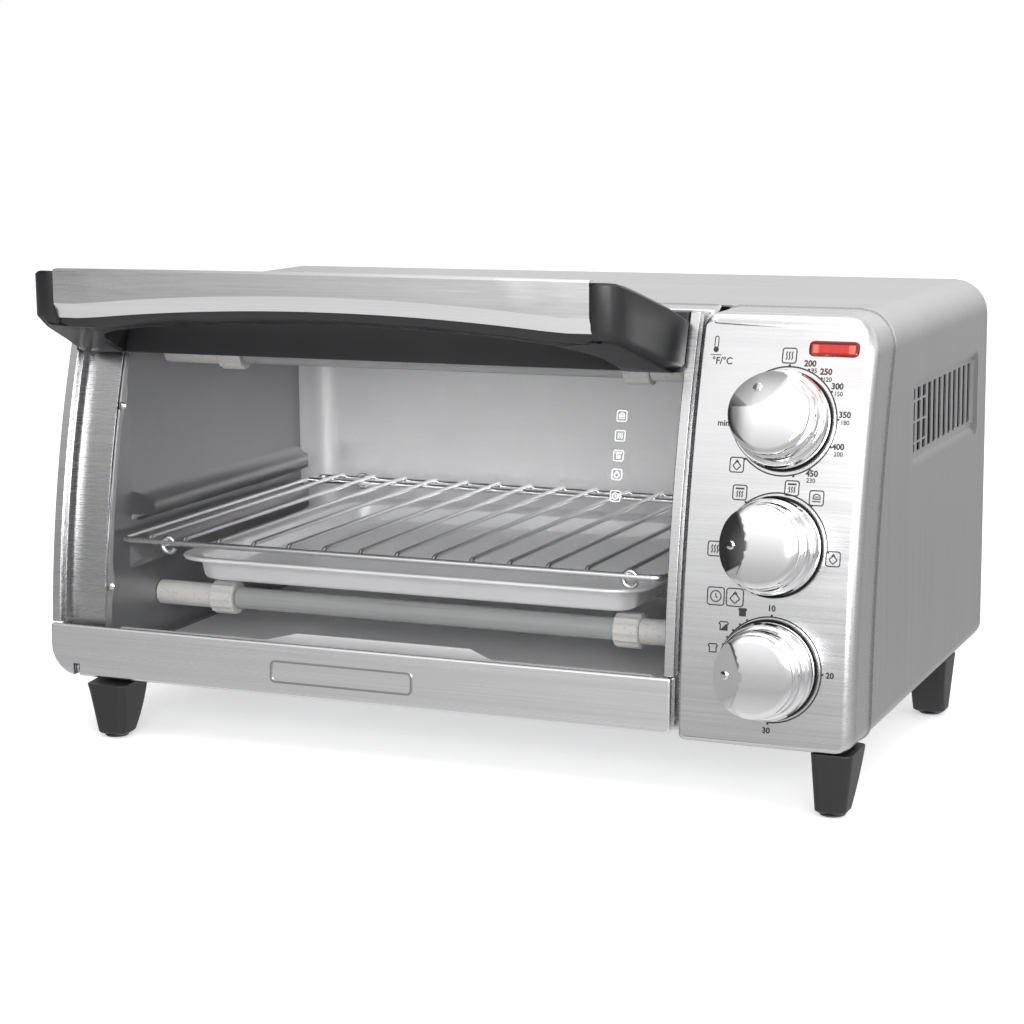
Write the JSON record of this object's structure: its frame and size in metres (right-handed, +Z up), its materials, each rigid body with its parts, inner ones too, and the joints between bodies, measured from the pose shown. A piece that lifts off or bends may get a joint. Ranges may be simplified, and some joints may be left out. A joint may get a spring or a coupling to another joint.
{
  "type": "toaster oven",
  "caption": "Countertop toaster oven with a drop-down glass door, stainless shell, three control dials, a wire rack and a pan in a lined cavity.",
  "frame": {"origin": "middle of the bounding box at the height of the surface it stands on", "axes": "+X to the right seen from the front, +Y to the back, +Z up"},
  "size_m": [0.4116, 0.2772, 0.2334],
  "materials": {
    "stainless": "horizontal brushed grain",
    "chrome": "polished plating",
    "liner": "satin rolled sheet",
    "aluminium": "satin pressed sheet",
    "black_plastic": "fine satin texture",
    "rubber": "matt",
    "glass": "clear toughened",
    "red_lens": "clear red moulding",
    "ceramic": "unglazed",
    "quartz": "frosted tube",
    "plated_steel": "zinc plated sheet"
  },
  "bodies": {
    "body": {"base_pan": "plated_steel", "cavity_left_wall": "liner", "cavity_rear_wall": "liner", "cavity_right_wall": "liner", "cavity_roof": "liner", "control_bracket": "plated_steel", "control_panel": "stainless", "cord_gland": "rubber", "crumb_tray": "aluminium", "foot_front_left": "black_plastic", "foot_front_right": "black_plastic", "foot_rear_left": "black_plastic", "foot_rear_right": "black_plastic", "front_frame": "stainless", "function_bezel": "chrome", "function_switch": "plated_steel", "glide_front_left": "rubber", "glide_front_right": "rubber", "glide_rear_left": "rubber", "glide_rear_right": "rubber", "hinge_arm_left": "plated_steel", "hinge_arm_right": "plated_steel", "indicator_lamp": "glass", "indicator_lens": "red_lens", "lower_front_heater": "quartz", "lower_front_heater_holder_left": "ceramic", "lower_front_heater_holder_right": "ceramic", "lower_rear_heater": "quartz", "lower_rear_heater_holder_left": "ceramic", "lower_rear_heater_holder_right": "ceramic", "outer_cover": "stainless", "rear_panel": "plated_steel", "temperature_bezel": "chrome", "thermostat": "plated_steel", "timer": "plated_steel", "timer_bezel": "chrome", "upper_front_heater": "quartz", "upper_front_heater_holder_left": "ceramic", "upper_front_heater_holder_right": "ceramic", "upper_rear_heater": "quartz", "upper_rear_heater_holder_left": "ceramic", "upper_rear_heater_holder_right": "ceramic"},
    "door": {"door_bottom_strip": "stainless", "door_glass": "glass", "door_handle": "black_plastic", "door_hinge_rail": "plated_steel", "door_top_rail": "black_plastic", "door_trim_left": "stainless", "door_trim_right": "stainless", "handle_strip": "stainless", "hinge_pin_left": "plated_steel", "hinge_pin_right": "plated_steel"},
    "rack": {"baking_pan": "aluminium", "wire_rack": "chrome"},
    "temperature_dial": {"temperature_knob": "chrome", "temperature_shaft": "plated_steel"},
    "function_dial": {"function_knob": "chrome", "function_shaft": "plated_steel"},
    "timer_dial": {"timer_knob": "chrome", "timer_shaft": "plated_steel"}
  },
  "joints": [
    {"name": "door_hinge", "type": "hinge", "parent": "body", "child": "door", "pos_m": [-0.0415, -0.1037, 0.0336], "axis": [1, 0, 0], "range_deg": [0, 88]},
    {"name": "rack_slide", "type": "slide", "parent": "body", "child": "rack", "axis": [0, -1, 0], "range_m": [0, 0.04]},
    {"name": "temperature_turn", "type": "hinge", "parent": "body", "child": "temperature_dial", "pos_m": [0.167, -0.0921, 0.1705], "axis": [0, -0.9609, 0.277], "range_deg": [-270, 0]},
    {"name": "function_turn", "type": "hinge", "parent": "body", "child": "function_dial", "pos_m": [0.167, -0.10458, 0.1175], "axis": [0, -0.9835, 0.181], "range_deg": [-60, 210]},
    {"name": "timer_turn", "type": "hinge", "parent": "body", "child": "timer_dial", "pos_m": [0.167, -0.11168, 0.0648], "axis": [0, -0.9963, 0.0855], "range_deg": [-300, 0]}
  ],
  "couplings": [
    {"joint": "rack_slide", "follows": "door_hinge", "m_per_rad": 0.0255}
  ]
}
